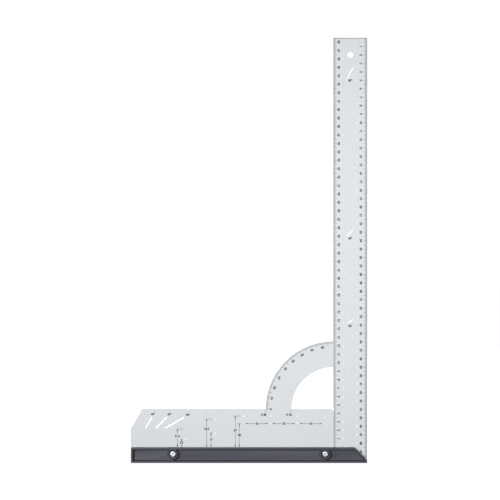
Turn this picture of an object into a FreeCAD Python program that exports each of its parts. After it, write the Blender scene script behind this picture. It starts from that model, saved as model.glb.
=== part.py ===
"""Carpenter's marking square: an L-shaped aluminium blade with a protractor arc, held in a plastic stop rail.

Millimetres, +Z up along the ruler leg, +X towards the ruler, -Y towards the user who reads the scales.
The origin is on the surface that the stop rail stands on, under the middle of the square, in the
blade's mid-plane.
"""

import FreeCAD
import Part
import os
from math import cos, radians, sin, sqrt, tan

V = FreeCAD.Vector

# Blade: one punched sheet with a ruler leg, a low wide base leg and a quarter-ring protractor between them.
BLADE_WIDTH = 280.0
BLADE_LENGTH = 500.0
BLADE_THICKNESS = 2.0
RULER_WIDTH = 40.0
BASE_HEIGHT = 60.0
ARC_OUTER_RADIUS = 80.0
ARC_INNER_RADIUS = 50.0
CORNER_NOTCH_RADIUS = 1.8  # pencil or compass point seat at the arcs' centre
BEVEL_ANGLE = 60.0  # of the base leg's cut corner, from the horizontal
BEVEL_RUN = 13.5
OUTER_CORNER_RADIUS = 0.5

# Stop rail: two half shells that clamp the blade's lower edge, and a lip that the blade stands on.
RAIL_LIP = 3.0
RAIL_HEIGHT = 18.0
RAIL_THICKNESS = 20.0
RAIL_INSET = 0.3  # the rail ends this far inside the blade, so that both blade edges stay free
RIM_WIDTH = 2.2
MITRE_RIM_WIDTH = 1.7
RECESS_DEPTH = 6.5  # leaves a 2.5 mm wall on the blade
RECESS_DRAFT = 5.5  # degrees, so that the moulding leaves its tool
RAIL_CORNER_RADIUS = 1.2
RECESS_CORNER_RADIUS = 0.8
RIM_EDGE_BREAK = 0.3
ZERO_GROOVE_RADIUS = 1.2  # in the front stop edge, for a pencil point at the scale's zero hole

# Pencil holes and mitre slots
PENCIL_HOLE_RADIUS = 1.0
CENTIMETRE = 10.0
SLOT_WIDTH = 2.1
HOLE_COLUMN_INSET = 12.0  # of each hole column from its ruler edge
BASE_SLOT_RISE = 12.0
BASE_SLOT_HEIGHT = 44.0  # of the slots' centres over the blade's lower edge
BASE_SLOTS = {60.0: 21.0, 45.0: 36.0, 30.0: 52.0}  # slot angle: centre from the blade's left edge
RULER_SLOT_RUN = 6.5
RULER_SLOTS = {60.0: 459.0, 45.0: 269.4, 30.0: 164.1}  # slot angle: centre over the blade's lower edge
HANGING_HOLE_RADIUS = 4.0
HANGING_HOLE_DROP = 20.0  # below the ruler's upper end

# Drilling patterns in the base leg: distance from the left edge, then heights over the stop edge.
FITTING_HOLES = {64.8: (21.5, 9.5), 99.8: (33.5, 17.0)}
SYSTEM_HOLE_START = 133.5
SYSTEM_HOLE_PITCH = 32.0
SYSTEM_HOLE_COUNT = 4
SYSTEM_HOLE_HEIGHTS = (37.0, 28.0)

# Clamping screws, M4 x 16 cheese head, with a spring washer under each head and a captive hexagon nut
SCREW_END_DISTANCE = 50.0  # of each screw from the blade's end
SCREW_RADIUS = 2.0
SCREW_LENGTH = 16.0
THREAD_PITCH = 0.7
THREAD_DEPTH = 0.38
HEAD_RADIUS = 3.5
HEAD_HEIGHT = 2.6
HEAD_EDGE_RADIUS = 0.9
CROSS_SPAN = 4.2
CROSS_WIDTH = 1.0
CROSS_DEPTH = 1.7
CROSS_BOTTOM_SPAN = 1.7
CROSS_BOTTOM_WIDTH = 0.7
CROSS_POINT_RADIUS = 0.9
CROSS_POINT_TIP = 0.3
CROSS_TURNS = {"left": 52.0, "right": 20.0}  # degrees, as the screws came to rest when tightened
CLEARANCE_RADIUS = 2.25
BOSS_RADIUS = 6.0
BOSS_RIB_WIDTH = 1.0
COUNTERBORE_RADIUS = 4.75
FRONT_SEAT = 5.0  # plastic between blade and washer
REAR_SEAT = 4.8  # plastic between blade and nut
WASHER_OUTER_RADIUS = 3.45
WASHER_INNER_RADIUS = 2.1
WASHER_THICKNESS = 1.0
WASHER_SPLIT = 0.5
WASHER_SPLIT_LEAN = 25.0
NUT_FLATS = 7.0
NUT_HEIGHT = 3.2
NUT_BORE_RADIUS = 2.05  # over the thread's crests, so that the screw turns and travels freely
NUT_FACE_SHARE = 0.95  # of the flats that the chamfer leaves of each face
NUT_SINK = 0.3  # countersink at both ends of the bore
NUT_POCKET_FLATS = 7.2

# Places worked out from the dimensions above
LEFT = -BLADE_WIDTH / 2
RIGHT = BLADE_WIDTH / 2
RULER_LEFT = RIGHT - RULER_WIDTH
BLADE_FOOT = RAIL_LIP
BLADE_TOP = BLADE_FOOT + BLADE_LENGTH
BASE_TOP = BLADE_FOOT + BASE_HEIGHT
STOP_EDGE = RAIL_HEIGHT
HALF_BLADE = BLADE_THICKNESS / 2
HALF_RAIL = RAIL_THICKNESS / 2
RAIL_LEFT = LEFT + RAIL_INSET
RAIL_RIGHT = RIGHT - RAIL_INSET
MITRE_SUM = RAIL_RIGHT + BLADE_FOOT  # x + z along the rail's 45 degree end
SCREW_PLACES = {"left": LEFT + SCREW_END_DISTANCE, "right": RIGHT - SCREW_END_DISTANCE}
SCREW_HEIGHT = (BLADE_FOOT + STOP_EDGE) / 2
WASHER_SEAT = -HALF_BLADE - FRONT_SEAT
HEAD_SEAT = WASHER_SEAT - WASHER_THICKNESS
NUT_SEAT = HALF_BLADE + REAR_SEAT


def point(x, z):
    """A point of an outline in the blade's mid-plane."""
    return V(x, 0, z)


def prism(edges, y_low, y_high):
    """The solid between two planes across Y, with the outline that the edges or points close."""
    if isinstance(edges[0], FreeCAD.Vector):
        wire = Part.makePolygon(edges + edges[:1])
    else:
        wire = Part.Wire(edges)
    face = Part.Face(wire)
    face.translate(V(0, y_low, 0))
    return face.extrude(V(0, y_high - y_low, 0))


def rod(radius, y_low, y_high, x, z):
    """A round bar along Y."""
    return Part.makeCylinder(radius, y_high - y_low, V(x, y_low, z), V(0, 1, 0))


def turned(profile, x, z):
    """The solid of revolution about Y of a profile given as (radius, y) pairs, set on the axis at x, z."""
    corners = [V(radius, y, 0) for radius, y in profile]
    face = Part.Face(Part.makePolygon(corners + corners[:1]))
    solid = face.revolve(V(0, 0, 0), V(0, 1, 0), 360)
    solid.translate(V(x, 0, z))
    return solid


def hexagon(flats, y_low, y_high, x, z):
    """A hexagonal bar along Y with two flats upright."""
    corner = flats / 2 / cos(radians(30))
    corners = [
        point(x + corner * sin(radians(60 * i)), z + corner * cos(radians(60 * i))) for i in range(6)
    ]
    return prism(corners, y_low, y_high)


def slot(x, z, run, angle, width):
    """A round-ended slot through the blade, centred at x, z, whose end centres lie run apart along X."""
    rise = run * tan(radians(angle))
    along = V(run, 0, rise)
    side = V(-sin(radians(angle)), 0, cos(radians(angle))) * (width / 2)
    low, high = point(x, z) - along / 2, point(x, z) + along / 2
    tip = along.normalize() * (width / 2)
    edges = [
        Part.LineSegment(low - side, high - side).toShape(),
        Part.Arc(high - side, high + tip, high + side).toShape(),
        Part.LineSegment(high + side, low + side).toShape(),
        Part.Arc(low + side, low - tip, low - side).toShape(),
    ]
    return prism(edges, -BLADE_THICKNESS, BLADE_THICKNESS)


def y_edges(shape, places=None):
    """The shape's straight edges along Y, all of them or those at the given (x, z) places."""
    found = []
    for edge in shape.Edges:
        start, end = edge.Vertexes[0].Point, edge.Vertexes[-1].Point
        upright = abs(start.x - end.x) < 1e-6 and abs(start.z - end.z) < 1e-6
        if upright and (
            places is None or any(abs(start.x - x) + abs(start.z - z) < 1e-3 for x, z in places)
        ):
            found.append(edge)
    return found


def blade_outline():
    """The L with its cut corner and the protractor's outer arc, anticlockwise from the lower left corner."""
    arc_side = ARC_OUTER_RADIUS * cos(radians(45))
    arc_top = point(RULER_LEFT, BASE_TOP + ARC_OUTER_RADIUS)
    arc_mid = point(RULER_LEFT - arc_side, BASE_TOP + arc_side)
    arc_end = point(RULER_LEFT - ARC_OUTER_RADIUS, BASE_TOP)
    before = [point(LEFT, BLADE_FOOT), point(RIGHT, BLADE_FOOT), point(RIGHT, BLADE_TOP)]
    before += [point(RULER_LEFT, BLADE_TOP), arc_top]
    bevel_drop = BEVEL_RUN * tan(radians(BEVEL_ANGLE))
    after = [arc_end, point(LEFT + BEVEL_RUN, BASE_TOP), point(LEFT, BASE_TOP - bevel_drop), before[0]]
    edges = [Part.LineSegment(a, b).toShape() for a, b in zip(before, before[1:])]
    edges.append(Part.Arc(arc_top, arc_mid, arc_end).toShape())
    edges += [Part.LineSegment(a, b).toShape() for a, b in zip(after, after[1:])]
    return edges


def arc_window():
    """The quarter disc between the protractor, the ruler leg and the base leg."""
    side = ARC_INNER_RADIUS * cos(radians(45))
    top = point(RULER_LEFT, BASE_TOP + ARC_INNER_RADIUS)
    middle = point(RULER_LEFT - side, BASE_TOP + side)
    end = point(RULER_LEFT - ARC_INNER_RADIUS, BASE_TOP)
    corner = point(RULER_LEFT, BASE_TOP)
    edges = [
        Part.Arc(top, middle, end).toShape(),
        Part.LineSegment(end, corner).toShape(),
        Part.LineSegment(corner, top).toShape(),
    ]
    return prism(edges, -BLADE_THICKNESS, BLADE_THICKNESS)


def pencil_hole_places():
    """Centres of every pencil hole: the ruler's two columns and the base leg's drilling patterns."""
    places = []
    for cm in range(int((BLADE_TOP - STOP_EDGE) / CENTIMETRE) + 1):
        places.append((RULER_LEFT + HOLE_COLUMN_INSET, STOP_EDGE + cm * CENTIMETRE))
    for cm in range(1, int(BLADE_LENGTH / CENTIMETRE)):
        places.append((RIGHT - HOLE_COLUMN_INSET, BLADE_TOP - cm * CENTIMETRE))
    for across, heights in FITTING_HOLES.items():
        places += [(LEFT + across, STOP_EDGE + height) for height in heights]
    for i in range(SYSTEM_HOLE_COUNT):
        across = SYSTEM_HOLE_START + i * SYSTEM_HOLE_PITCH
        places += [(LEFT + across, STOP_EDGE + height) for height in SYSTEM_HOLE_HEIGHTS]
    return places


def make_blade():
    """The punched sheet with its window, holes and slots."""
    sheet = prism(blade_outline(), -HALF_BLADE, HALF_BLADE)
    corners = [(RIGHT, BLADE_FOOT), (RIGHT, BLADE_TOP), (RULER_LEFT, BLADE_TOP), (LEFT, BLADE_FOOT)]
    sheet = sheet.makeFillet(OUTER_CORNER_RADIUS, y_edges(sheet, corners))
    through = (-BLADE_THICKNESS, BLADE_THICKNESS)
    cuts = [arc_window(), rod(CORNER_NOTCH_RADIUS, *through, RULER_LEFT, BASE_TOP)]
    hanging_height = BLADE_TOP - HANGING_HOLE_DROP
    cuts.append(rod(HANGING_HOLE_RADIUS, *through, RIGHT - RULER_WIDTH / 2, hanging_height))
    cuts += [rod(PENCIL_HOLE_RADIUS, *through, x, z) for x, z in pencil_hole_places()]
    cuts += [rod(CLEARANCE_RADIUS, *through, x, SCREW_HEIGHT) for x in SCREW_PLACES.values()]
    for angle, across in BASE_SLOTS.items():
        run = BASE_SLOT_RISE / tan(radians(angle))
        cuts.append(slot(LEFT + across, BLADE_FOOT + BASE_SLOT_HEIGHT, run, angle, SLOT_WIDTH))
    for angle, height in RULER_SLOTS.items():
        x = RIGHT - RULER_WIDTH / 2
        cuts.append(slot(x, BLADE_FOOT + height, RULER_SLOT_RUN, angle, SLOT_WIDTH))
    return sheet.cut(cuts)


def rail_outline():
    """The rail seen from the front: square at the left, mitred at 45 degrees at the right."""
    return [
        point(RAIL_LEFT, 0),
        point(RAIL_RIGHT, 0),
        point(RAIL_RIGHT, BLADE_FOOT),
        point(MITRE_SUM - RAIL_HEIGHT, RAIL_HEIGHT),
        point(RAIL_LEFT, RAIL_HEIGHT),
    ]


def recess_wire(y):
    """The recess's outline at a depth, closed, which narrows by the draft from the rim's front plane."""
    narrowing = (y + HALF_RAIL) * tan(radians(RECESS_DRAFT))
    inset = RIM_WIDTH + narrowing
    mitre = MITRE_SUM - (MITRE_RIM_WIDTH + narrowing) * sqrt(2)
    low, high = inset, RAIL_HEIGHT - inset
    left = RAIL_LEFT + inset
    corners = [V(left, y, low), V(mitre - low, y, low), V(mitre - high, y, high), V(left, y, high)]
    return Part.makePolygon(corners + corners[:1])


def make_recess():
    """The drafted hollow that leaves the rail's rim standing, without its bosses."""
    floor = RECESS_DEPTH - HALF_RAIL
    recess = Part.makeLoft([recess_wire(-HALF_RAIL - 1), recess_wire(floor)], True, True)
    corners = [e for e in recess.Edges if abs(e.Vertexes[0].Y - e.Vertexes[-1].Y) > 1]
    recess = recess.makeFillet(RECESS_CORNER_RADIUS, corners)
    for x in SCREW_PLACES.values():
        boss = rod(BOSS_RADIUS, -HALF_RAIL, floor + 1, x, SCREW_HEIGHT)
        rib = Part.makeBox(
            BOSS_RIB_WIDTH, RECESS_DEPTH + 1, SCREW_HEIGHT, V(x - BOSS_RIB_WIDTH / 2, -HALF_RAIL, 0)
        )
        recess = recess.cut([boss, rib])
    return recess


def rail_shell():
    """Half the rail before its screw seats are cut: a rimmed, recessed bar with two screw bosses."""
    bar = prism(rail_outline(), -HALF_RAIL, 0)
    left_corners = [(RAIL_LEFT, 0), (RAIL_LEFT, RAIL_HEIGHT)]
    bar = bar.makeFillet(RAIL_CORNER_RADIUS, y_edges(bar, left_corners))
    front_edges = [e for e in bar.Edges if all(abs(v.Y + HALF_RAIL) < 1e-6 for v in e.Vertexes)]
    bar = bar.makeChamfer(RIM_EDGE_BREAK, front_edges)
    bed_corner = V(-BLADE_WIDTH, -HALF_BLADE, BLADE_FOOT)
    blade_bed = Part.makeBox(2 * BLADE_WIDTH, HALF_BLADE, RAIL_HEIGHT, bed_corner)
    return bar.cut([make_recess(), blade_bed])


def make_rail_front():
    """The half that takes the screw heads, in round counterbores, with the groove to the zero hole."""
    cuts = [rod(ZERO_GROOVE_RADIUS, -HALF_RAIL - 1, -HALF_BLADE, RULER_LEFT + HOLE_COLUMN_INSET, STOP_EDGE)]
    for x in SCREW_PLACES.values():
        cuts.append(rod(COUNTERBORE_RADIUS, -HALF_RAIL - 1, WASHER_SEAT, x, SCREW_HEIGHT))
        cuts.append(rod(CLEARANCE_RADIUS, -HALF_RAIL, HALF_RAIL, x, SCREW_HEIGHT))
    return rail_shell().cut(cuts)


def make_rail_rear():
    """The mirrored half, whose hexagonal pockets keep the nuts from turning."""
    cuts = []
    for x in SCREW_PLACES.values():
        cuts.append(hexagon(NUT_POCKET_FLATS, NUT_SEAT, HALF_RAIL + 1, x, SCREW_HEIGHT))
        cuts.append(rod(CLEARANCE_RADIUS, -HALF_RAIL, HALF_RAIL, x, SCREW_HEIGHT))
    return rail_shell().mirror(V(0, 0, 0), V(0, 1, 0)).cut(cuts)


def cross_recess(x, z, turn):
    """The tapered cross that the driver turns: two wedges and a central point."""
    top = HEAD_SEAT - HEAD_HEIGHT
    bottom = top + CROSS_DEPTH
    point_depth = CROSS_DEPTH + CROSS_POINT_TIP
    centre = Part.makeCone(CROSS_POINT_RADIUS, CROSS_POINT_TIP, point_depth, V(x, top, z), V(0, 1, 0))
    solids = [centre]
    levels = ((top, CROSS_SPAN, CROSS_WIDTH), (bottom, CROSS_BOTTOM_SPAN, CROSS_BOTTOM_WIDTH))
    for blade_turn in (turn, turn + 90):
        wires = []
        for y, span, width in levels:
            half, side = span / 2, width / 2
            corners = [V(-half, y, -side), V(half, y, -side), V(half, y, side), V(-half, y, side)]
            wires.append(Part.makePolygon(corners + corners[:1]))
        wedge = Part.makeLoft(wires, True)
        wedge.rotate(V(0, 0, 0), V(0, 1, 0), blade_turn)
        wedge.translate(V(x, 0, z))
        solids.append(wedge)
    return solids


def make_screw(x, z, turn):
    """A cheese-head machine screw. The thread is drawn as rings at its real pitch and depth."""
    top = HEAD_SEAT - HEAD_HEIGHT
    tip = HEAD_SEAT + SCREW_LENGTH
    head = [(0, top)]
    for step in range(7):
        share = radians(15 * step)
        radius = HEAD_RADIUS - HEAD_EDGE_RADIUS * (1 - sin(share))
        head.append((radius, top + HEAD_EDGE_RADIUS * (1 - cos(share))))
    head += [(HEAD_RADIUS, HEAD_SEAT), (SCREW_RADIUS, HEAD_SEAT)]
    root = SCREW_RADIUS - THREAD_DEPTH
    crest = THREAD_PITCH / 8
    half = THREAD_PITCH / 2
    thread = []
    y = HEAD_SEAT + THREAD_PITCH
    while y + THREAD_PITCH < tip - THREAD_DEPTH:
        thread += [(SCREW_RADIUS, y), (root, y + half - crest), (root, y + half)]
        thread.append((SCREW_RADIUS, y + THREAD_PITCH - crest))
        y += THREAD_PITCH
    end = [(SCREW_RADIUS, tip - THREAD_DEPTH), (root, tip), (0, tip)]
    return turned(head + thread + end, x, z).cut(cross_recess(x, z, turn))


def make_washer(x, z):
    """A spring washer between the screw's head and the plastic, pressed flat, its slanted split on top."""
    outer = rod(WASHER_OUTER_RADIUS, HEAD_SEAT, WASHER_SEAT, x, z)
    bore = rod(WASHER_INNER_RADIUS, HEAD_SEAT - 1, WASHER_SEAT + 1, x, z)
    gap = Part.makeBox(WASHER_SPLIT, 3 * WASHER_THICKNESS, 2 * WASHER_OUTER_RADIUS)
    gap.translate(V(-WASHER_SPLIT / 2, -1.5 * WASHER_THICKNESS, 0))
    gap.rotate(V(0, 0, 0), V(0, 0, 1), WASHER_SPLIT_LEAN)
    gap.translate(V(x, (HEAD_SEAT + WASHER_SEAT) / 2, z))
    return outer.cut([bore, gap])


def make_nut(x, z):
    """A hexagon nut with its corners chamfered on both faces and its bore countersunk."""
    low, high = NUT_SEAT, NUT_SEAT + NUT_HEIGHT
    corner = NUT_FLATS / 2 / cos(radians(30))
    face_radius = NUT_FLATS / 2 * NUT_FACE_SHARE
    chamfer = (corner - face_radius) * tan(radians(30))
    rounded = [(0, low), (face_radius, low), (corner, low + chamfer)]
    rounded += [(corner, high - chamfer), (face_radius, high), (0, high)]
    blank = hexagon(NUT_FLATS, low, high, x, z).common(turned(rounded, x, z))
    mouth = NUT_BORE_RADIUS + NUT_SINK
    bore = [(0, low - 1), (mouth, low - 1), (mouth, low), (NUT_BORE_RADIUS, low + NUT_SINK)]
    bore += [(NUT_BORE_RADIUS, high - NUT_SINK), (mouth, high), (mouth, high + 1), (0, high + 1)]
    return blank.cut(turned(bore, x, z))


def save(name, shape):
    """Writes one node's STEP file from its single solid."""
    solids = shape.Solids
    if len(solids) != 1 or not shape.isValid():
        raise RuntimeError(f"{name} has {len(solids)} solids, valid {shape.isValid()}")
    solids[0].exportStep(f"parts/{name}.step")
    print(f"{name}: {solids[0].Volume:.1f} mm3")


def main():
    os.makedirs("parts", exist_ok=True)
    save("blade", make_blade())
    save("stop_rail_front", make_rail_front())
    save("stop_rail_rear", make_rail_rear())
    for side, x in SCREW_PLACES.items():
        save(f"screw_{side}", make_screw(x, SCREW_HEIGHT, CROSS_TURNS[side]))
        save(f"washer_{side}", make_washer(x, SCREW_HEIGHT))
        save(f"nut_{side}", make_nut(x, SCREW_HEIGHT))


main()
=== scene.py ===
"""Looks of the carpenter's marking square: satin blade with printed scales, moulded stop rail, zinc screws.

Lengths here are in millimetres and become metres where a mesh is made. The picture plane is X and Z, and
the front of the square, which carries the printing, faces -Y.
"""

from math import acos, asin, atan2, cos, degrees, radians, sin, sqrt, tan, tau

import bmesh
import bpy
from mathutils import Matrix, Vector
from mathutils.geometry import delaunay_2d_cdt


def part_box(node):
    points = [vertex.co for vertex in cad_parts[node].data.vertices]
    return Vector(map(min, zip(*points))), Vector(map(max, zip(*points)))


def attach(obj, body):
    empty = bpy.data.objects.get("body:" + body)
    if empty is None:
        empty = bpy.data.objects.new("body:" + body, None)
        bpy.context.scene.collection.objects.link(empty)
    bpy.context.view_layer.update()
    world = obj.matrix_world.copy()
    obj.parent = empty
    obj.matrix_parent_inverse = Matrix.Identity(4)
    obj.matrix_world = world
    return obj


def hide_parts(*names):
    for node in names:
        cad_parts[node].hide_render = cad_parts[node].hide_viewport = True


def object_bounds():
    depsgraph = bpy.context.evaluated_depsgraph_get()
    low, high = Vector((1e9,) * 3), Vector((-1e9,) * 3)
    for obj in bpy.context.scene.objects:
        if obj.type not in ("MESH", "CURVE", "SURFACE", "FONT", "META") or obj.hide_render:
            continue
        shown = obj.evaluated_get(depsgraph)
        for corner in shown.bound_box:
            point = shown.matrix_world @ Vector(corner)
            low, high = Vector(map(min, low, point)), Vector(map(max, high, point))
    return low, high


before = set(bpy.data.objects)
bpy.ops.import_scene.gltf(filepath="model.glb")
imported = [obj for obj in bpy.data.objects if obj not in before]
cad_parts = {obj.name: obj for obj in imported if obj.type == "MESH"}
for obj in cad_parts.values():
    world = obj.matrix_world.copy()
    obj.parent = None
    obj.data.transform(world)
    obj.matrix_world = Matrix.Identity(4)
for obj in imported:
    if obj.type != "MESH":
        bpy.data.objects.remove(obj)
cad_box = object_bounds()

MM = 0.001
NEAR = 1e-3  # millimetres within which two places are the same
LEAST_TURN = 0.3  # sine of the smallest turn that counts as a corner


def node_box(node):
    """A CAD node's lowest and highest corner in millimetres."""
    low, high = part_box(node)
    return low / MM, high / MM


# Driving dimensions that the frame gives
BLADE_LOW, BLADE_HIGH = node_box("blade")
RAIL_LOW, RAIL_HIGH = node_box("stop_rail_front")
LEFT, RIGHT = BLADE_LOW.x, BLADE_HIGH.x
FOOT, TOP = BLADE_LOW.z, BLADE_HIGH.z
HALF_BLADE = BLADE_HIGH.y
FRONT = BLADE_LOW.y
STOP_EDGE = RAIL_HIGH.z
BODY = "square"

# Blade
RULER_WIDTH = 40.0
BASE_HEIGHT = 60.0
ARC_OUTER_RADIUS = 80.0
ARC_INNER_RADIUS = 50.0
CORNER_NOTCH_RADIUS = 1.8
BEVEL_ANGLE = 60.0
BEVEL_RUN = 13.5
OUTER_CORNER_RADIUS = 0.5
EDGE_BREAK = 0.2  # the worn-round arris of the punched sheet
RULER_LEFT = RIGHT - RULER_WIDTH
RULER_MIDDLE = RIGHT - RULER_WIDTH / 2
BASE_TOP = FOOT + BASE_HEIGHT

# Pencil holes and mitre slots
CENTIMETRE = 10.0
PENCIL_HOLE_RADIUS = 1.0
SLOT_WIDTH = 2.1
HOLE_COLUMN_INSET = 12.0
HANGING_HOLE_RADIUS = 4.0
HANGING_HOLE_DROP = 20.0
BASE_SLOT_RISE = 12.0
BASE_SLOT_HEIGHT = 44.0
BASE_SLOTS = {60: 21.0, 45: 36.0, 30: 52.0}
RULER_SLOT_RUN = 6.5
RULER_SLOTS = {60: 459.0, 45: 269.4, 30: 164.1}
FITTING_HOLES = {64.8: (21.5, 9.5), 99.8: (33.5, 17.0)}
SYSTEM_HOLE_START = 133.5
SYSTEM_HOLE_PITCH = 32.0
SYSTEM_HOLE_COUNT = 4
SYSTEM_HOLE_HEIGHTS = (37.0, 28.0)

# Stop rail: each half is a rimmed shell whose bosses and ribs part its hollow into three pockets
RIM_WIDTH = 2.2
MITRE_RIM_WIDTH = 1.7
POCKET_DEPTH = 6.5
POCKET_DRAFT = 5.5
POCKET_CORNER_RADIUS = 0.8
POCKET_FLOOR_RADIUS = 0.2
RAIL_CORNER_RADIUS = 1.2
ZERO_GROOVE_RADIUS = 1.2  # in the front stop edge, at the scale's zero hole
RIM_EDGE_RADIUS = 0.15
SEAM_BREAK = 0.12
BOSS_RADIUS = 6.0
BOSS_FILLET = 0.35
RIB_WIDTH = 1.0
RIB_CORNER_RADIUS = 0.35
COUNTERBORE_RADIUS = 4.75
CLEARANCE_RADIUS = 2.25
NUT_POCKET_FLATS = 7.2

# Screws, which stand at mid height between the blade's foot and the stop edge
SIDES = ("left", "right")
SCREW_END_DISTANCE = 50.0
SCREW_HEIGHT = (FOOT + STOP_EDGE) / 2
SCREW_X = {"left": LEFT + SCREW_END_DISTANCE, "right": RIGHT - SCREW_END_DISTANCE}
SCREW_RADIUS = 2.0
THREAD_PITCH = 0.7
THREAD_DEPTH = 0.38
THREAD_SWING = 0.9  # of the groove's wave, which is cut off flat at the crest and the root
THREAD_TIP_FADE = 4  # how steeply the groove runs out at the tip
THREAD_RINGS = 8  # for each turn
SCREW_STEPS = 40
HEAD_RADIUS = 3.5
HEAD_HEIGHT = 2.6
HEAD_EDGE = 0.9
HEAD_FOOT_EDGE = 0.15
CROSS_SPAN = 4.2
CROSS_WIDTH = 1.0
CROSS_DEPTH = 1.7
CROSS_POINT = 0.3
CROSS_WEB = 0.25
CROSS_TIP_SPAN = 0.4  # shares of the span and width that are left at the cross's floor
CROSS_TIP_WIDTH = 0.7
CROSS_START = 0.5  # how far the cutter stands out of the head, and how much longer its wings are there
CROSS_FLARE = 0.1  # how much wider they are there
CROSS_TURNS = {"left": 52.0, "right": 20.0}

# Printing
INK_DEPTH = 0.01
INK_STAND = 0.015
# Drawn wider than the real strokes, so that they also carry the dark shade along the ruler's edges: partly
# print, partly painted shade
TICK_WIDTH = 0.4
NUMBER_HEIGHT = 2.5
LABEL_HEIGHT = 2.4
DIMENSION_STROKE = 0.42
ARROW_LENGTH = 2.6
ARROW_WIDTH = 1.8
INK_GROWTH = 0.055  # thickens the letters, in letter heights
NUMBER_STRETCH = 1.06
SCALE_STROKES = {10: 4.1, 5: 3.8}  # stroke lengths at whole and half centimetres
LEFT_SCALE_STROKE = 2.2
RIGHT_SCALE_STROKE = 2.3
LEFT_NUMBER_INSET = 6.3
RIGHT_NUMBER_INSET = 7.4
UNNUMBERED_END = 2  # millimetres at a scale's end that carry no number
LEFT_SCALE_SHORT = 1  # millimetres by which each scale stops short of the blade's end
RIGHT_SCALE_SHORT = 3
DEGREE_STROKES = {10: 3.2, 5: 3.6, 1: 2.0}
DEGREE_NUMBER_INSET = 5.7
# The line along the ruler's top edge is painted shade: a black strip for the dark reflection of its rounded
# arris
EDGE_SHADE_LINE_MARGIN = 0.5
EDGE_SHADE_LINE_DROP = 0.4
EDGE_SHADE_LINE_WIDTH = 0.5
LEADER_DROP = 4.0
LEADER_LEAN = 0.6
RADIUS_LABEL_ASIDE = 2.6
RADIUS_LABEL_DROP = 6.4
# Where each base slot's label stands, from the blade's left foot
BASE_SLOT_LABELS = {60: (26.3, 54.3), 45: (45.8, 54.1), 30: (67.6, 53.3)}
RULER_SLOT_LABEL_DROP = 2.6

# Printed dimensions: for each drilling pattern, two line offsets from its holes and two label heights
DIMENSION_OFFSETS = ((-9.7, -4.9), (-10.1, -4.8), (-9.8, -5.0))
DIMENSION_LABELS = ((13.2, 5.3), (21.8, 9.0), (20.0, 14.5))
DIMENSION_FOOT_GAP = 0.2
DIMENSION_LEADER_START = -1.6
DIMENSION_LEADER_END = -3.0
HEIGHT_LABEL_GAP = 0.9  # half the gap that a line leaves for its label, in label heights
SPACING_LABEL_GAP = 1.1
SPACING_START = 2.3  # of a spacing's line, from the holes at its two ends
SPACING_END = -3.1

# Studio, in metres and watts
CAMERA_DISTANCE = 3.0
FRAME_WIDTH = 0.5927  # at the blade
CAMERA_ASIDE = 0.00115
CAMERA_LIFT = 0.0002
SENSOR_WIDTH = 36.0  # millimetres
FLOOR_SIZE = 30.0
FLOOR_DEPTH = 0.02
FLOOR_GLOW = 1.0
BACKDROP_GLOW = 1.02
FILL_TINT = (0.93, 0.96, 1.0, 1)
WORLD_FILL = 0.1
KEY_POWER = 89.0
FILL_POWER = 23.0
BACK_POWER = 150.0
LAMPS = {  # place, side length and power
    "key": ((-1.25, -3.1, 0.7), 0.7, KEY_POWER),
    "fill": ((0.25, -3.3, 0.25), 1.2, FILL_POWER),
    "back": ((1.0, 2.6, 1.6), 2.0, BACK_POWER),
}


# ---------------------------------------------------------------- meshes


def new_object(name, mesh, body=BODY, material=None):
    """An object of the square that rides on a body and takes its finish from a material slot."""
    piece = bpy.data.objects.new(name, mesh)
    bpy.context.scene.collection.objects.link(piece)
    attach(piece, body)
    if material:
        piece.data.materials.clear()
        piece.data.materials.append(material)
    return piece


def finish_mesh(bm, name, smooth_angle=35):
    """A mesh in metres from a bmesh in millimetres, shaded smooth except at its sharp edges."""
    bmesh.ops.remove_doubles(bm, verts=bm.verts, dist=1e-4)
    bmesh.ops.recalc_face_normals(bm, faces=bm.faces)
    bmesh.ops.scale(bm, vec=(MM, MM, MM), verts=bm.verts)
    mesh = bpy.data.meshes.new(name)
    bm.to_mesh(mesh)
    bm.free()
    mesh.polygons.foreach_set("use_smooth", [True] * len(mesh.polygons))
    mesh.set_sharp_from_angle(angle=radians(smooth_angle))
    return mesh


def arc_points(x, z, radius, start, end, steps):
    """Points along an arc about x, z between two angles in degrees, both ends included."""
    angles = [radians(start + (end - start) * i / steps) for i in range(steps + 1)]
    return [Vector((x + radius * cos(a), z + radius * sin(a))) for a in angles]


def circle(x, z, radius, steps=32):
    """A closed circle, anticlockwise."""
    return arc_points(x, z, radius, 0, 360, steps)[:-1]


def slot_loop(x, z, run, angle, width, steps=12):
    """A round-ended slot whose end centres lie run apart along X, anticlockwise."""
    half = Vector((run, run * tan(radians(angle)))) / 2
    here = Vector((x, z))
    upper = arc_points(*(here + half), width / 2, angle - 90, angle + 90, steps)
    lower = arc_points(*(here - half), width / 2, angle + 90, angle + 270, steps)
    return upper + lower


def rounded(before, corner, after, radius, steps=4):
    """Points that round one corner of an outline by a tangent arc."""
    into = (corner - before).normalized()
    out = (after - corner).normalized()
    turn = atan2(into.cross(out), into.dot(out))
    start = corner - into * (radius * tan(abs(turn) / 2))
    centre = start + left_normal(into) * (radius if turn > 0 else -radius)
    spoke = start - centre
    start_angle = degrees(atan2(spoke.y, spoke.x))
    return arc_points(*centre, radius, start_angle, start_angle + degrees(turn), steps)


def left_normal(direction):
    """The unit normal on a direction's left."""
    return Vector((-direction.y, direction.x)).normalized()


def inset(loop, distance):
    """The loop moved to its left, into the material, by the distance."""
    moved = []
    count = len(loop)
    for i, here in enumerate(loop):
        before = left_normal(here - loop[i - 1])
        after = left_normal(loop[(i + 1) % count] - here)
        moved.append(here + (before + after) * (distance / (1 + before.dot(after))))
    return moved


def inside(spot, loop):
    """Whether a point lies inside a closed loop."""
    odd = False
    for a, b in zip(loop, loop[1:] + loop[:1]):
        if (a.y > spot.y) != (b.y > spot.y) and spot.x < a.x + (b.x - a.x) * (spot.y - a.y) / (b.y - a.y):
            odd = not odd
    return odd


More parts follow.
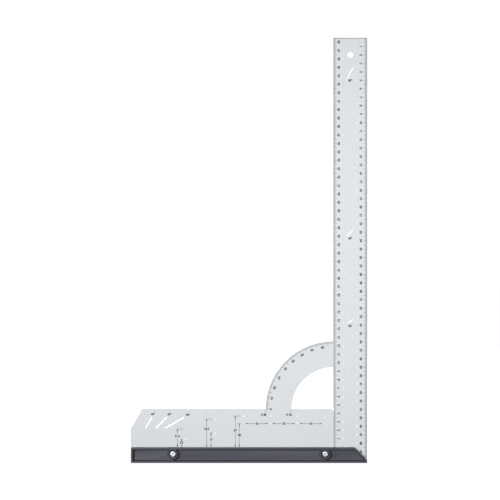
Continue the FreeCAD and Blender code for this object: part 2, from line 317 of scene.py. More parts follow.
def cap_triangles(loops):
    """Triangles, as point numbers, that fill the first loop and leave the others open."""
    points, edges, owner = [], [], []
    for number, loop in enumerate(loops):
        first = len(points)
        points += loop
        owner += [number] * len(loop)
        edges += [(first + i, first + (i + 1) % len(loop)) for i in range(len(loop))]
    result = delaunay_2d_cdt(points, edges, [], 1, 1e-7)
    source = [group[0] for group in result[3]]
    kept = []
    for triangle in result[2]:
        corners = [source[i] for i in triangle]
        owners = {owner[i] for i in corners}
        middle = sum((points[i] for i in corners), Vector((0, 0))) / 3
        number = owners.pop()
        if owners or (inside(middle, loops[number]) == (number == 0)):
            kept.append(corners)
    return kept


def add_cap(bm, loops, y):
    """Fills the first loop, less the others, with flat triangles at a height along Y."""
    flat = [bm.verts.new((p.x, y, p.y)) for loop in loops for p in loop]
    for triangle in cap_triangles(loops):
        bm.faces.new([flat[i] for i in triangle])


def add_walls(bm, levels):
    """Joins loops of equal length, each given with its height along Y, by quads."""
    rings = [[bm.verts.new((p.x, y, p.y)) for p in loop] for y, loop in levels]
    for near, far in zip(rings, rings[1:]):
        for i in range(len(near)):
            j = (i + 1) % len(near)
            bm.faces.new((near[i], near[j], far[j], far[i]))


def sheet_mesh(name, loops, y_low, y_high, edge_break):
    """A closed flat solid with an outline, holes and a small chamfer along every edge."""
    bm = bmesh.new()
    broken = [inset(loop, edge_break) for loop in loops]
    for full, moved in zip(loops, broken):
        near, far = (y_low, moved), (y_high, moved)
        add_walls(bm, [near, (y_low + edge_break, full), (y_high - edge_break, full), far])
    add_cap(bm, broken, y_low)
    add_cap(bm, broken, y_high)
    return finish_mesh(bm, name)


def add_print(bm, corners):
    """A thin printed shape on the blade's front with straight sides, as a closed prism."""
    near = [bm.verts.new((p.x, FRONT - INK_STAND, p.y)) for p in corners]
    far = [bm.verts.new((p.x, FRONT + INK_DEPTH, p.y)) for p in corners]
    bm.faces.new(near)
    bm.faces.new(far[::-1])
    for i in range(len(corners)):
        j = (i + 1) % len(corners)
        bm.faces.new((near[j], near[i], far[i], far[j]))


def add_bar(bm, start, end, width):
    """A printed stroke between two points."""
    start, end = Vector(start), Vector(end)
    side = left_normal(end - start) * (width / 2)
    add_print(bm, [start - side, end - side, end + side, start + side])


def add_arrowhead(bm, tip, direction):
    """A printed triangle whose tip points along a direction."""
    tip, direction = Vector(tip), Vector(direction).normalized()
    base = tip - direction * ARROW_LENGTH
    side = left_normal(direction) * (ARROW_WIDTH / 2)
    add_print(bm, [tip, base + side, base - side])


def letters_mesh(words, stretch):
    """Flat closed letters, one unit high and centred, cached because the scales repeat their numbers."""
    key = (words, stretch)
    if key not in letters_mesh.made:
        curve = bpy.data.curves.new("letters", "FONT")
        curve.body = words
        curve.align_x = "CENTER"
        curve.resolution_u = 4
        curve.offset = INK_GROWTH
        curve.extrude = 0.5
        curve.fill_mode = "BOTH"
        carrier = bpy.data.objects.new("letters", curve)
        bpy.context.scene.collection.objects.link(carrier)
        bpy.context.view_layer.update()
        mesh = bpy.data.meshes.new_from_object(carrier.evaluated_get(bpy.context.evaluated_depsgraph_get()))
        bpy.data.objects.remove(carrier)
        bpy.data.curves.remove(curve)
        digit_height = letters_mesh.digit_height
        mesh.transform(Matrix.Diagonal((stretch / digit_height, 1 / digit_height, 1, 1)))
        letters_mesh.made[key] = mesh
    return letters_mesh.made[key]


letters_mesh.made = {}
letters_mesh.digit_height = 0.7  # of the built-in font's figures, in font sizes


def add_words(bm, words, x, z, height, turn=0, stretch=1.0):
    """Prints words centred at x, z, turned anticlockwise by an angle in degrees as the user sees them."""
    across = Vector((cos(radians(turn)), 0, sin(radians(turn))))
    up = Vector((-sin(radians(turn)), 0, cos(radians(turn))))
    thickness = INK_DEPTH + INK_STAND
    out = Vector((0, -1, 0))
    place = Matrix.Identity(4)
    place.col[0][:3] = across * height
    place.col[1][:3] = up * height
    place.col[2][:3] = out * thickness
    middle = Vector((x, FRONT + INK_DEPTH - thickness / 2, z)) - up * (height / 2)
    place.translation = middle
    copy = letters_mesh(words, stretch).copy()
    copy.transform(place)
    bm.from_mesh(copy)
    bpy.data.meshes.remove(copy)


# ---------------------------------------------------------------- materials


def new_material(name):
    """A material with its node tree, its shader and its object coordinates."""
    material = bpy.data.materials.new(name)
    material.use_nodes = True
    tree = material.node_tree
    shader = tree.nodes["Principled BSDF"]
    place = tree.nodes.new("ShaderNodeTexCoord").outputs["Object"]
    return material, tree, shader, place


def noise(tree, place, grain, detail=3.0, stretch=(1, 1, 1)):
    """Noise whose grain is a feature size in millimetres, drawn out along the axes by stretch."""
    mapping = tree.nodes.new("ShaderNodeMapping")
    mapping.inputs["Scale"].default_value = [1 / s for s in stretch]
    texture = tree.nodes.new("ShaderNodeTexNoise")
    texture.inputs["Scale"].default_value = 1 / (grain * MM)
    texture.inputs["Detail"].default_value = detail
    tree.links.new(place, mapping.inputs["Vector"])
    tree.links.new(mapping.outputs["Vector"], texture.inputs["Vector"])
    return texture.outputs["Fac"]


def ramp(tree, value, low, high, start=0.3, end=0.7):
    """Colours between two ends as the value goes from start to end."""
    node = tree.nodes.new("ShaderNodeValToRGB")
    node.color_ramp.elements[0].position = start
    node.color_ramp.elements[1].position = end
    node.color_ramp.elements[0].color = (*low, 1)
    node.color_ramp.elements[1].color = (*high, 1)
    tree.links.new(value, node.inputs["Fac"])
    return node.outputs["Color"]


def spread(tree, value, low, high):
    """The value, from 0.3 to 0.7, spread between two numbers."""
    node = tree.nodes.new("ShaderNodeMapRange")
    node.inputs["From Min"].default_value = 0.3
    node.inputs["From Max"].default_value = 0.7
    node.inputs["To Min"].default_value = low
    node.inputs["To Max"].default_value = high
    tree.links.new(value, node.inputs["Value"])
    return node.outputs["Result"]


def bump(tree, shader, height, distance, strength=1.0):
    """Raises the surface by a height texture, with the distance in millimetres."""
    node = tree.nodes.new("ShaderNodeBump")
    node.inputs["Strength"].default_value = strength
    node.inputs["Distance"].default_value = distance * MM
    tree.links.new(height, node.inputs["Height"])
    tree.links.new(node.outputs["Normal"], shader.inputs["Normal"])


def mixed(tree, first, second, share):
    """A mix of two number outputs, with the second one's share."""
    node = tree.nodes.new("ShaderNodeMix")
    node.inputs["Factor"].default_value = share
    tree.links.new(first, node.inputs["A"])
    tree.links.new(second, node.inputs["B"])
    return node.outputs["Result"]


def anodised_aluminium():
    """Pale satin sheet: fine etched grain, faint rolling lines and a slow mottle in the oxide."""
    material, tree, shader, place = new_material("anodised_aluminium")
    mottle = noise(tree, place, 14, detail=4)
    grain = noise(tree, place, 0.35, detail=2)
    lines = noise(tree, place, 0.25, detail=2, stretch=(1, 1, 60))
    colour = ramp(tree, mixed(tree, mottle, grain, 0.7), (0.53, 0.545, 0.568), (0.565, 0.58, 0.602))
    tree.links.new(colour, shader.inputs["Base Color"])
    tree.links.new(spread(tree, mixed(tree, grain, lines, 0.5), 0.27, 0.33), shader.inputs["Roughness"])
    shader.inputs["Metallic"].default_value = 0.1
    shader.inputs["Specular IOR Level"].default_value = 0.5
    bump(tree, shader, mixed(tree, grain, lines, 0.5), 0.006)
    return material


def moulded_plastic():
    """Dark grey moulding: spark-eroded texture with slightly glossier and lighter patches."""
    material, tree, shader, place = new_material("moulded_plastic")
    patches = noise(tree, place, 9, detail=3)
    grain = noise(tree, place, 0.22, detail=2)
    colour = ramp(tree, mixed(tree, patches, grain, 0.4), (0.042, 0.042, 0.06), (0.055, 0.055, 0.079))
    tree.links.new(colour, shader.inputs["Base Color"])
    tree.links.new(spread(tree, mixed(tree, patches, grain, 0.5), 0.46, 0.64), shader.inputs["Roughness"])
    shader.inputs["Specular IOR Level"].default_value = 0.45
    bump(tree, shader, grain, 0.012)
    return material


def zinc_plate(name, tint):
    """Bright zinc plating: faint blue passivation clouds over fine drawing marks."""
    material, tree, shader, place = new_material(name)
    clouds = noise(tree, place, 1.6, detail=3)
    marks = noise(tree, place, 0.15, detail=2, stretch=(1, 5, 1))
    light = [min(1.0, t * 1.12) for t in tint]
    colour = ramp(tree, clouds, tint, light)
    tree.links.new(colour, shader.inputs["Base Color"])
    tree.links.new(spread(tree, mixed(tree, clouds, marks, 0.5), 0.36, 0.5), shader.inputs["Roughness"])
    shader.inputs["Metallic"].default_value = 1.0
    bump(tree, shader, marks, 0.003)
    return material


def black_ink():
    """Pad-printed black: nearly matt, a little thin where the grain stands through."""
    material, tree, shader, place = new_material("black_ink")
    thin = noise(tree, place, 0.3, detail=2)
    tree.links.new(ramp(tree, thin, (0.012, 0.012, 0.015), (0.04, 0.04, 0.045)), shader.inputs["Base Color"])
    tree.links.new(spread(tree, thin, 0.5, 0.7), shader.inputs["Roughness"])
    return material


def pale_floor():
    """Studio paper that glows an even white and hardly answers to the lamps."""
    material, tree, shader, place = new_material("pale_floor")
    fibres = noise(tree, place, 3, detail=3)
    tree.links.new(ramp(tree, fibres, (0.02, 0.02, 0.02), (0.03, 0.03, 0.03)), shader.inputs["Base Color"])
    shader.inputs["Roughness"].default_value = 0.9
    shader.inputs["Specular IOR Level"].default_value = 0.1
    shader.inputs["Emission Color"].default_value = (1, 1, 1, 1)
    shader.inputs["Emission Strength"].default_value = FLOOR_GLOW
    return material


# ---------------------------------------------------------------- blade


def blade_outline():
    """The L with its cut corner and the protractor's outer arc, anticlockwise."""
    corners = [Vector(p) for p in ((LEFT, FOOT), (RIGHT, FOOT), (RIGHT, TOP), (RULER_LEFT, TOP))]
    bevel_foot = Vector((LEFT, BASE_TOP - BEVEL_RUN * tan(radians(BEVEL_ANGLE))))
    arc = arc_points(RULER_LEFT, BASE_TOP, ARC_OUTER_RADIUS, 90, 180, 72)
    ring = [bevel_foot] + corners + [arc[0]]
    outline = []
    for before, corner, after in zip(ring, ring[1:], ring[2:]):
        outline += rounded(before, corner, after, OUTER_CORNER_RADIUS)
    return outline + arc + [Vector((LEFT + BEVEL_RUN, BASE_TOP)), bevel_foot]


def window_loop():
    """The quarter disc inside the protractor, with the round notch at its corner, anticlockwise."""
    notch = arc_points(RULER_LEFT, BASE_TOP, CORNER_NOTCH_RADIUS, 180, 450, 30)
    return notch + arc_points(RULER_LEFT, BASE_TOP, ARC_INNER_RADIUS, 90, 180, 60)


def pencil_hole_places():
    """Centres of every pencil hole: the ruler's two columns and the base leg's drilling patterns."""
    left_column = RULER_LEFT + HOLE_COLUMN_INSET
    right_column = RIGHT - HOLE_COLUMN_INSET
    places = [(left_column, STOP_EDGE + cm * CENTIMETRE) for cm in range(left_scale_length() + 1)]
    places += [(right_column, TOP - cm * CENTIMETRE) for cm in range(1, right_scale_length())]
    for across, heights in FITTING_HOLES.items():
        places += [(LEFT + across, STOP_EDGE + height) for height in heights]
    places += [(x, STOP_EDGE + height) for x in system_hole_columns() for height in SYSTEM_HOLE_HEIGHTS]
    return places


def left_scale_length():
    """Whole centimetres from the stop edge to the ruler's upper end."""
    return int((TOP - STOP_EDGE) / CENTIMETRE)


def right_scale_length():
    """Whole centimetres from the ruler's upper end to its foot."""
    return round((TOP - FOOT) / CENTIMETRE)


def system_hole_columns():
    """The X of each column of the 32 mm drilling pattern."""
    return [LEFT + SYSTEM_HOLE_START + i * SYSTEM_HOLE_PITCH for i in range(SYSTEM_HOLE_COUNT)]


def make_blade(material):
    """The punched sheet, with every hole and slot and a slightly broken edge."""
    openings = [window_loop(), circle(RULER_MIDDLE, TOP - HANGING_HOLE_DROP, HANGING_HOLE_RADIUS, 64)]
    openings += [circle(x, z, PENCIL_HOLE_RADIUS, 28) for x, z in pencil_hole_places()]
    openings += [circle(x, SCREW_HEIGHT, CLEARANCE_RADIUS) for x in SCREW_X.values()]
    for angle, across in BASE_SLOTS.items():
        run = BASE_SLOT_RISE / tan(radians(angle))
        openings.append(slot_loop(LEFT + across, FOOT + BASE_SLOT_HEIGHT, run, angle, SLOT_WIDTH))
    for angle, height in RULER_SLOTS.items():
        openings.append(slot_loop(RULER_MIDDLE, FOOT + height, RULER_SLOT_RUN, angle, SLOT_WIDTH))
    loops = [blade_outline()] + [loop[::-1] for loop in openings]
    mesh = sheet_mesh("blade_sheet", loops, -HALF_BLADE, HALF_BLADE, EDGE_BREAK)
    sheet = new_object("blade_sheet", mesh, material=material)
    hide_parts("blade")
    return sheet


# ---------------------------------------------------------------- printing


def make_print(name, draw, material):
    """One printed group: closed strokes and letters a few hundredths of a millimetre thick."""
    bm = bmesh.new()
    draw(bm)
    return new_object(name, finish_mesh(bm, name, 30), material=material)


def draw_scale(bm, edge, zero, sign, inward, length, number_column, last, turn):
    """A millimetre scale along a ruler edge, with numbers at the whole centimetres.

    sign is the direction of counting along Z, and inward the direction from the edge into the blade along X.
    """
    strokes = {**SCALE_STROKES, 1: length}
    for millimetre in range(last + 1):
        reach = next(strokes[step] for step in strokes if millimetre % step == 0)
        z = zero + sign * millimetre
        start = edge + inward * EDGE_BREAK
        add_bar(bm, (start, z), (start + inward * reach, z), TICK_WIDTH)
        if millimetre % 10 == 0 and 0 < millimetre < last - UNNUMBERED_END:
            add_words(bm, str(millimetre // 10), number_column, z, NUMBER_HEIGHT, turn, NUMBER_STRETCH)


def draw_left_scale(bm):
    """Counts up from the stop edge, so it measures what lies against the rail."""
    last = int(TOP - STOP_EDGE) - LEFT_SCALE_SHORT
    draw_scale(bm, RULER_LEFT, STOP_EDGE, 1, 1, LEFT_SCALE_STROKE, RULER_LEFT + LEFT_NUMBER_INSET, last, 90)


def draw_right_scale(bm):
    """Counts down from the ruler's upper end, where a black line along the top edge is painted shade for the
    dark reflection of the edge's rounded arris.
    """
    last = int(TOP - FOOT) - RIGHT_SCALE_SHORT
    zero = TOP - EDGE_BREAK
    draw_scale(bm, RIGHT, zero, -1, -1, RIGHT_SCALE_STROKE, RIGHT - RIGHT_NUMBER_INSET, last, -90)
    # Painted shade: a black strip along the top edge, where the rounded arris shows a dark reflection
    z = TOP - EDGE_SHADE_LINE_DROP
    add_bar(bm, (RULER_LEFT + EDGE_SHADE_LINE_MARGIN, z), (RIGHT - EDGE_SHADE_LINE_MARGIN, z), EDGE_SHADE_LINE_WIDTH)


def draw_protractor(bm):
    """Degree strokes along the outer arc, counted from the base leg, with the tens numbered."""
    outer = ARC_OUTER_RADIUS - EDGE_BREAK
    number_radius = ARC_OUTER_RADIUS - DEGREE_NUMBER_INSET
    for degree in range(90):
        reach = next(DEGREE_STROKES[step] for step in DEGREE_STROKES if degree % step == 0)
        away = Vector((-cos(radians(degree)), sin(radians(degree))))
        corner = Vector((RULER_LEFT, BASE_TOP))
        add_bar(bm, corner + away * outer, corner + away * (outer - reach), TICK_WIDTH)
        if degree % 10 == 0:
            spot = corner + away * number_radius
            add_words(bm, str(degree), *spot, NUMBER_HEIGHT, 90 - degree, NUMBER_STRETCH)


def draw_radius_labels(bm):
    """Names the two arcs' radii at the ends of short leader lines."""
    for radius in (ARC_OUTER_RADIUS, ARC_INNER_RADIUS):
        x = RULER_LEFT - radius
        add_bar(bm, (x, BASE_TOP - EDGE_BREAK), (x - LEADER_LEAN, BASE_TOP - LEADER_DROP), TICK_WIDTH)
        label_z = BASE_TOP - RADIUS_LABEL_DROP
        add_words(bm, f"R {radius:.0f}", x - RADIUS_LABEL_ASIDE, label_z, LABEL_HEIGHT)


def draw_slot_labels(bm):
    """The angle of each mitre slot, at its upper end on the base leg and under it on the ruler."""
    for angle, (across, height) in BASE_SLOT_LABELS.items():
        add_words(bm, f"{angle}°", LEFT + across, FOOT + height, LABEL_HEIGHT)
    for angle, height in RULER_SLOTS.items():
        low = height - RULER_SLOT_RUN * tan(radians(angle)) / 2 - SLOT_WIDTH / 2
        add_words(bm, f"{angle}°", RULER_MIDDLE, FOOT + low - RULER_SLOT_LABEL_DROP, LABEL_HEIGHT)


def draw_dimension(bm, x, height, label_height, hole_x):
    """A printed dimension from the stop edge up to a hole's height, with a leader towards the hole."""
    low, high = STOP_EDGE + DIMENSION_FOOT_GAP, STOP_EDGE + height
    gap = LABEL_HEIGHT * HEIGHT_LABEL_GAP
    label_z = STOP_EDGE + label_height
    add_bar(bm, (x, low), (x, label_z - gap), DIMENSION_STROKE)
    if label_z + gap < high:
        add_bar(bm, (x, label_z + gap), (x, high), DIMENSION_STROKE)
    add_arrowhead(bm, (x, low), (0, -1))
    add_arrowhead(bm, (x, high), (0, 1))
    leader_start = x + DIMENSION_LEADER_START
    leader_end = hole_x + DIMENSION_LEADER_END
    add_bar(bm, (leader_start, high), (leader_end, high), DIMENSION_STROKE)
    add_words(bm, f"{height:g}", x, label_z, LABEL_HEIGHT)


def draw_dimensions(bm):
    """The heights of the drilling patterns over the stop edge, and the spacing of the system holes."""
    columns = system_hole_columns()
    patterns = [(LEFT + across, heights) for across, heights in FITTING_HOLES.items()]
    patterns.append((columns[0], SYSTEM_HOLE_HEIGHTS))
    for (hole_x, heights), offsets, labels in zip(patterns, DIMENSION_OFFSETS, DIMENSION_LABELS):
        for height, offset, label_height in zip(heights, offsets, labels):
            draw_dimension(bm, hole_x + offset, height, label_height, hole_x)
    z = STOP_EDGE + SYSTEM_HOLE_HEIGHTS[1]
    gap = LABEL_HEIGHT * SPACING_LABEL_GAP
    for a, b in zip(columns, columns[1:]):
        start, end, middle = a + SPACING_START, b + SPACING_END, (a + b) / 2
        add_bar(bm, (start, z), (middle - gap, z), DIMENSION_STROKE)
        add_bar(bm, (middle + gap, z), (end, z), DIMENSION_STROKE)
        add_arrowhead(bm, (start, z), (-1, 0))
        add_arrowhead(bm, (end, z), (1, 0))
        add_words(bm, f"{SYSTEM_HOLE_PITCH:.0f}", middle, z, LABEL_HEIGHT)


def make_prints(material):
    """Every printed group on the blade's front, with the painted shade line along the ruler's top edge in
    the right scale's group.
    """
    groups = {
        "left_scale": draw_left_scale,
        "right_scale_and_shade_line": draw_right_scale,
        "protractor": draw_protractor,
        "radius_labels": draw_radius_labels,
        "slot_labels": draw_slot_labels,
        "dimensions": draw_dimensions,
    }
    for name, draw in groups.items():
        make_print(f"print_{name}", draw, material)


# ---------------------------------------------------------------- stop rail


def rail_outline(grooved):
    """One rail half seen from the front, with a point level with the blade's foot at each end.

    The front half is grooved where the zero of the left scale meets the stop edge.
    """
    left, right = RAIL_LOW.x, RAIL_HIGH.x
    foot_right = Vector((right, RAIL_LOW.z))
    foot_left = Vector((left, RAIL_LOW.z))
    top_left = Vector((left, STOP_EDGE))
    bed_left = Vector((left, FOOT))
    outline = [foot_right, Vector((right, FOOT)), Vector((right + FOOT - STOP_EDGE, STOP_EDGE))]
    if grooved:
        outline += arc_points(RULER_LEFT + HOLE_COLUMN_INSET, STOP_EDGE, ZERO_GROOVE_RADIUS, 360, 180, 12)
    outline += rounded(outline[-1], top_left, foot_left, RAIL_CORNER_RADIUS, 6)
    outline.append(bed_left)
    outline += rounded(bed_left, foot_left, foot_right, RAIL_CORNER_RADIUS, 6)
    return outline


def boss_side(x, way, top, half_rib, radius):
    """One side of a boss, from its rib's side up to the rim over it, with fillets at both ends.

    way is -1 for the boss's left side and 1 for its right side.
    """
    rise = top - SCREW_HEIGHT
    outer = radius + BOSS_FILLET
    low_angle = -acos((half_rib + BOSS_FILLET) / outer)
    high_angle = asin((rise - BOSS_FILLET) / outer)
    side = []
    for angle, start, end in (
        (low_angle, 180, 180 + degrees(low_angle)),
        (high_angle, 180 + degrees(high_angle), 90),
    ):
        centre = Vector((outer * cos(angle), outer * sin(angle)))
        fillet = [centre + p for p in arc_points(0, 0, BOSS_FILLET, start, end, 8)]
        side.append(fillet)
    arc = arc_points(0, 0, radius, degrees(low_angle), degrees(high_angle), 28)[1:-1]
    points = side[0] + arc + side[1]
    return [Vector((x + way * p.x, SCREW_HEIGHT + p.y)) for p in points]


def pocket_loops(narrowing):
    """The three pockets between the rim, the bosses and the ribs, anticlockwise, narrowed on every side."""
    inset_by = RIM_WIDTH + narrowing
    low, high = RAIL_LOW.z + inset_by, STOP_EDGE - inset_by
    left = RAIL_LOW.x + inset_by
    mitre = RAIL_HIGH.x + FOOT - (MITRE_RIM_WIDTH + narrowing) * sqrt(2)
    half_rib = RIB_WIDTH / 2 + narrowing
    sides = {}
    for name, x in SCREW_X.items():
        for way in (-1, 1):
            foot = Vector((x + way * half_rib, low))
            sides[name, way] = [foot] + boss_side(x, way, high, half_rib, BOSS_RADIUS + narrowing)
    left_end = [Vector((left, high)), Vector((left, low))]
    right_end = [Vector((mitre - low, low)), Vector((mitre - high, high))]
    loops = []
    for climb, fall in (
        (sides["left", -1], left_end),
        (sides["right", -1], sides["left", 1][::-1]),
        (right_end, sides["right", 1][::-1]),
    ):
        loop = climb + fall
        loops.append(round_right_corners(loop, low, high))
    return loops


def round_right_corners(loop, low, high):
    """Rounds the corners that lie on a pocket's straight top or bottom edge."""
    result = []
    for i, corner in enumerate(loop):
        before, after = loop[i - 1], loop[(i + 1) % len(loop)]
        on_edge = min(abs(corner.y - low), abs(corner.y - high)) < NEAR
        turn = (corner - before).normalized().cross((after - corner).normalized())
        if on_edge and turn > LEAST_TURN:
            by_rib = any(abs(corner.x - x) < BOSS_RADIUS for x in SCREW_X.values())
            radius = RIB_CORNER_RADIUS if by_rib else POCKET_CORNER_RADIUS
            result += rounded(before, corner, after, radius, 5)
        else:
            result.append(corner)
    return result


def run_from(loop, belongs):
    """The unbroken run of a loop's points that belong together, in order."""
    first = next(i for i, p in enumerate(loop) if belongs(p) and not belongs(loop[i - 1]))
    turned = loop[first:] + loop[:first]
    return [p for p in turned if belongs(p)]


def edge_steps(radius, steps=4):
    """Pairs (how far inside, how deep) along a quarter-round edge, from its flat face to its wall."""
    angles = [radians(90 * i / steps) for i in range(steps + 1)]
    return [(radius * (1 - sin(a)), radius * (1 - cos(a))) for a in angles]


def pocket_levels():
    """Pairs (narrowing, depth) down a pocket: rounded mouth, drafted wall, filleted floor."""
    draft = tan(radians(POCKET_DRAFT))
    levels = [(-moved, depth) for moved, depth in edge_steps(RIM_EDGE_RADIUS)]
    deepest = POCKET_DEPTH * draft
    for moved, depth in edge_steps(POCKET_FLOOR_RADIUS)[::-1]:
        levels.append((deepest + moved, POCKET_DEPTH - depth))
    return levels


def hexagon_loop(x, z, flats, radius=0.3):
    """A hexagon with two flats upright and slightly rounded corners, anticlockwise."""
    corner = flats / 2 / cos(radians(30))
    corners = arc_points(x, z, corner, 30, 330, 5)
    loop = []
    for i, here in enumerate(corners):
        loop += rounded(corners[i - 1], here, corners[(i + 1) % 6], radius, 3)
    return loop


def make_rail_half(node, mouth_loop, seat, material):
    """A rimmed shell on one side of the blade, with a pocket for the fastener in each boss.

    mouth_loop gives the fastener pocket's outline about a centre, grown by a distance, and seat is the Y of
    that pocket's floor.
    """
    low, high = node_box(node)
    inward = 1 if node == "stop_rail_front" else -1
    face = low.y if inward > 0 else high.y
    bed = -inward * HALF_BLADE
    bm = bmesh.new()
    outline = rail_outline(grooved=inward > 0)
    # Outer skin, from the rounded rim to the bed that the blade lies in
    skin = [(face + inward * depth, inset(outline, moved)) for moved, depth in edge_steps(RIM_EDGE_RADIUS)]
    add_walls(bm, skin + [(bed, outline)])
    # Lip under the blade, up to the seam in the middle
    lip = run_from(outline, lambda p: p.y < FOOT + NEAR)
    seam = inset(lip, SEAM_BREAK)
    add_walls(bm, [(bed, lip), (-inward * SEAM_BREAK, lip), (0, seam)])
    add_cap(bm, [seam], 0)
    # Face of the rim with the mouths of its pockets
    mouths = [mouth_loop(x, RIM_EDGE_RADIUS) for x in SCREW_X.values()]
    levels = pocket_levels()
    loops = [inset(outline, RIM_EDGE_RADIUS)] + [loop[::-1] for loop in pocket_loops(levels[0][0])]
    add_cap(bm, loops + [loop[::-1] for loop in mouths], face)
    stacks = [pocket_loops(narrowing) for narrowing, _ in levels]
    for number in range(len(stacks[0])):
        add_walls(bm, [(face + inward * d, s[number]) for (_, d), s in zip(levels, stacks)])
        add_cap(bm, [stacks[-1][number]], face + inward * POCKET_DEPTH)
    # Fastener pockets and clearance bores
    bores = [circle(x, SCREW_HEIGHT, CLEARANCE_RADIUS) for x in SCREW_X.values()]
    for x, bore in zip(SCREW_X.values(), bores):
        rim = [(face + inward * d, mouth_loop(x, moved)) for moved, d in edge_steps(RIM_EDGE_RADIUS)]
        add_walls(bm, rim + [(seat, mouth_loop(x, 0))])
        add_cap(bm, [mouth_loop(x, 0), bore[::-1]], seat)
        add_walls(bm, [(seat, bore), (bed, bore)])
    # Bed behind the rim that faces the blade
    above = run_from(outline, lambda p: p.y > FOOT - NEAR)
    add_cap(bm, [above] + [bore[::-1] for bore in bores], bed)
    rail = new_object(f"{node}_shell", finish_mesh(bm, node, 40), material=material)
    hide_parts(node)
    return rail


def make_rails(material):
    """Both halves: round counterbores in front for the screw heads, hexagons behind for the nuts."""
    washer_seat = node_box("washer_left")[1].y
    nut_seat = node_box("nut_left")[0].y

    def counterbore(x, growth):
        return circle(x, SCREW_HEIGHT, COUNTERBORE_RADIUS + growth, 64)

    def nut_pocket(x, growth):
        return hexagon_loop(x, SCREW_HEIGHT, NUT_POCKET_FLATS + 2 * growth)

    make_rail_half("stop_rail_front", counterbore, washer_seat, material)
    make_rail_half("stop_rail_rear", nut_pocket, nut_seat, material)


# ---------------------------------------------------------------- fasteners


def thread_radius(y, angle, start, end):
    """The thread's radius at a place: a right-hand groove that runs out before the head and at the tip."""
    turn = (y / THREAD_PITCH + angle / tau) % 1
    groove = min(1, max(0, 0.5 + THREAD_SWING * cos(tau * turn)))
    fade = min(1, max(0, (y - start) / THREAD_PITCH), (end - y) / THREAD_DEPTH * THREAD_TIP_FADE)
    chamfer = max(0, THREAD_DEPTH - (end - y))
    return SCREW_RADIUS - THREAD_DEPTH * groove * fade - chamfer * (1 - groove * fade)


def add_ring(bm, x, y, radii):
    """A ring of points about a screw's axis, with its own radius at each angle."""
    ring = []
    for i, radius in enumerate(radii):
        angle = tau * i / len(radii)
        ring.append(bm.verts.new((x + radius * cos(angle), y, SCREW_HEIGHT + radius * sin(angle))))
    return ring


def screw_blank(side, low, high):
    """The screw without its cross: a rounded cheese head on a threaded shank."""
    x, steps = SCREW_X[side], SCREW_STEPS
    seat = low.y + HEAD_HEIGHT
    bm = bmesh.new()
    rings = []
    for moved, depth in edge_steps(HEAD_EDGE, 8):
        rings.append(add_ring(bm, x, low.y + depth, [HEAD_RADIUS - moved] * steps))
    rings.append(add_ring(bm, x, seat - HEAD_FOOT_EDGE, [HEAD_RADIUS] * steps))
    rings.append(add_ring(bm, x, seat, [HEAD_RADIUS - HEAD_FOOT_EDGE] * steps))
    thread_start = seat + THREAD_PITCH
    count = int((high.y - seat) / THREAD_PITCH * THREAD_RINGS)
    for i in range(count + 1):
        y = seat + (high.y - seat) * i / count
        radii = [thread_radius(y, tau * j / steps, thread_start, high.y) for j in range(steps)]
        rings.append(add_ring(bm, x, y, radii))
    for near, far in zip(rings, rings[1:]):
        for i in range(steps):
            j = (i + 1) % steps
            bm.faces.new((near[i], near[j], far[j], far[i]))
    bm.faces.new(rings[0])
    bm.faces.new(rings[-1][::-1])
    return finish_mesh(bm, f"screw_{side}", 30)


def cross_cutter(side, low):
    """The driver's cross: two tapered wings and the point in their middle, as one closed form."""
    x, top = SCREW_X[side], low.y
    turn = radians(CROSS_TURNS[side])
    bm = bmesh.new()
    levels = (
        (-CROSS_START, CROSS_SPAN + CROSS_START, CROSS_WIDTH + CROSS_FLARE),
        (CROSS_DEPTH, CROSS_SPAN * CROSS_TIP_SPAN, CROSS_WIDTH * CROSS_TIP_WIDTH),
    )
    rings = []
    for depth, span, width in levels:
        ring = []
        for quarter in range(4):
            along = Vector((cos(turn + quarter * tau / 4), sin(turn + quarter * tau / 4)))
            side_way = Vector((-along.y, along.x))
            end, half = along * (span / 2), side_way * (width / 2)
            tips = [end - half, end + half, (along + side_way) * (width / 2 + CROSS_WEB)]
            ring += [bm.verts.new((x + p.x, top + depth, SCREW_HEIGHT + p.y)) for p in tips]
        rings.append(ring)
    point = bm.verts.new((x, top + CROSS_DEPTH + CROSS_POINT, SCREW_HEIGHT))
    near, far = rings
    for i in range(len(near)):
        j = (i + 1) % len(near)
        bm.faces.new((near[i], near[j], far[j], far[i]))
        bm.faces.new((far[i], far[j], point))
    bm.faces.new(near[::-1])
    return finish_mesh(bm, f"cross_{side}", 20)


def make_screw(side, material):
    """A cheese-head screw with a cross recess and a real helical thread."""
    node = f"screw_{side}"
    low, high = node_box(node)
    screw = new_object(f"{node}_threaded", screw_blank(side, low, high), f"screw_body_{side}")
    cutter = bpy.data.objects.new("cutter", cross_cutter(side, low))
    bpy.context.scene.collection.objects.link(cutter)
    cut = screw.modifiers.new("cross", "BOOLEAN")
    cut.object = cutter
    cut.operation = "DIFFERENCE"
    cut.solver = "EXACT"
    bpy.context.view_layer.update()
    graph = bpy.context.evaluated_depsgraph_get()
    mesh = bpy.data.meshes.new_from_object(screw.evaluated_get(graph))
    screw.modifiers.clear()
    screw.data = mesh
    bpy.data.objects.remove(cutter)
    mesh.set_sharp_from_angle(angle=radians(35))
    mesh.materials.clear()
    mesh.materials.append(material)
    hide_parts(node)


def finish_fasteners():
    """Screws made anew; washers and nuts keep their CAD shapes and get their plating."""
    bright = zinc_plate("bright_zinc", (0.47, 0.50, 0.54))
    dull = zinc_plate("spring_zinc", (0.38, 0.39, 0.41))
    for side in SIDES:
        make_screw(side, bright)
        for node, material in ((f"washer_{side}", dull), (f"nut_{side}", bright)):
            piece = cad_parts[node]
            piece.data.materials.clear()
            piece.data.materials.append(material)


# ---------------------------------------------------------------- studio


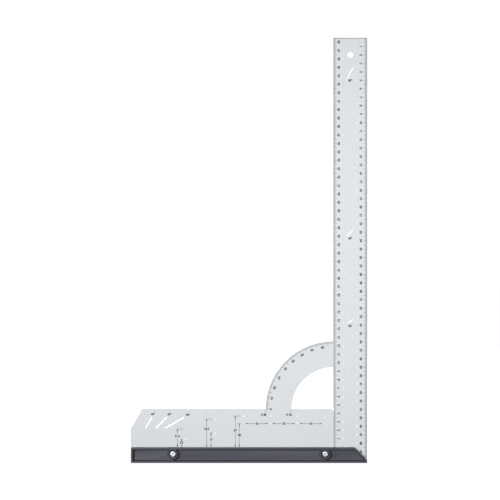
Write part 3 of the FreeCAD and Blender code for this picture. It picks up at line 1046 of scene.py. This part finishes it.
def make_floor():
    """A wide pale floor under the square."""
    bm = bmesh.new()
    bmesh.ops.create_cube(bm, size=1)
    bmesh.ops.scale(bm, vec=(FLOOR_SIZE, FLOOR_SIZE, FLOOR_DEPTH), verts=bm.verts)
    bmesh.ops.translate(bm, vec=(0, 0, -FLOOR_DEPTH / 2), verts=bm.verts)
    mesh = bpy.data.meshes.new("studio_floor")
    bm.to_mesh(mesh)
    bm.free()
    mesh.materials.append(pale_floor())
    floor = bpy.data.objects.new("studio_floor", mesh)
    bpy.context.scene.collection.objects.link(floor)
    # The paper glows for the camera alone, so that the square keeps the shading of its lamps
    floor.visible_diffuse = False
    floor.visible_glossy = False
    floor.visible_shadow = False


def make_world():
    """White behind the object, and a dimmer even fill as light."""
    world = bpy.data.worlds.new("studio")
    bpy.context.scene.world = world
    world.use_nodes = True
    tree = world.node_tree
    fill = tree.nodes["Background"]
    fill.inputs["Color"].default_value = FILL_TINT
    fill.inputs["Strength"].default_value = WORLD_FILL
    behind = tree.nodes.new("ShaderNodeBackground")
    behind.inputs["Color"].default_value = (1, 1, 1, 1)
    behind.inputs["Strength"].default_value = BACKDROP_GLOW
    rays = tree.nodes.new("ShaderNodeLightPath")
    mix = tree.nodes.new("ShaderNodeMixShader")
    tree.links.new(rays.outputs["Is Camera Ray"], mix.inputs["Fac"])
    tree.links.new(fill.outputs["Background"], mix.inputs[1])
    tree.links.new(behind.outputs["Background"], mix.inputs[2])
    tree.links.new(mix.outputs["Shader"], tree.nodes["World Output"].inputs["Surface"])


def add_light(name, place, target, size, power):
    """A square soft light at a place in metres, aimed at a target."""
    light = bpy.data.lights.new(name, "AREA")
    light.size = size
    light.energy = power
    lamp = bpy.data.objects.new(name, light)
    bpy.context.scene.collection.objects.link(lamp)
    lamp.location = place
    lamp.rotation_euler = (Vector(target) - Vector(place)).to_track_quat("-Z", "Y").to_euler()


def make_lights(middle):
    """A soft key from the left of the camera, a broad fill in front, and a broad one behind."""
    for name, (place, size, power) in LAMPS.items():
        add_light(name, place, middle, size, power)


def make_camera(middle):
    """A long lens level with the middle of the square."""
    data = bpy.data.cameras.new("camera")
    data.sensor_width = SENSOR_WIDTH
    data.lens = SENSOR_WIDTH * CAMERA_DISTANCE / FRAME_WIDTH
    data.clip_start = 0.1
    data.clip_end = 100
    camera = bpy.data.objects.new("camera", data)
    bpy.context.scene.collection.objects.link(camera)
    camera.location = middle + Vector((CAMERA_ASIDE, -CAMERA_DISTANCE, CAMERA_LIFT))
    camera.rotation_euler = (radians(90), 0, 0)
    bpy.context.scene.camera = camera


aluminium = anodised_aluminium()
make_blade(aluminium)
make_prints(black_ink())
make_rails(moulded_plastic())
finish_fasteners()

cad_middle = (Vector(cad_box[0]) + Vector(cad_box[1])) / 2
make_floor()
make_world()
make_lights(cad_middle)
make_camera(cad_middle)
bpy.context.scene.view_settings.view_transform = "Standard"
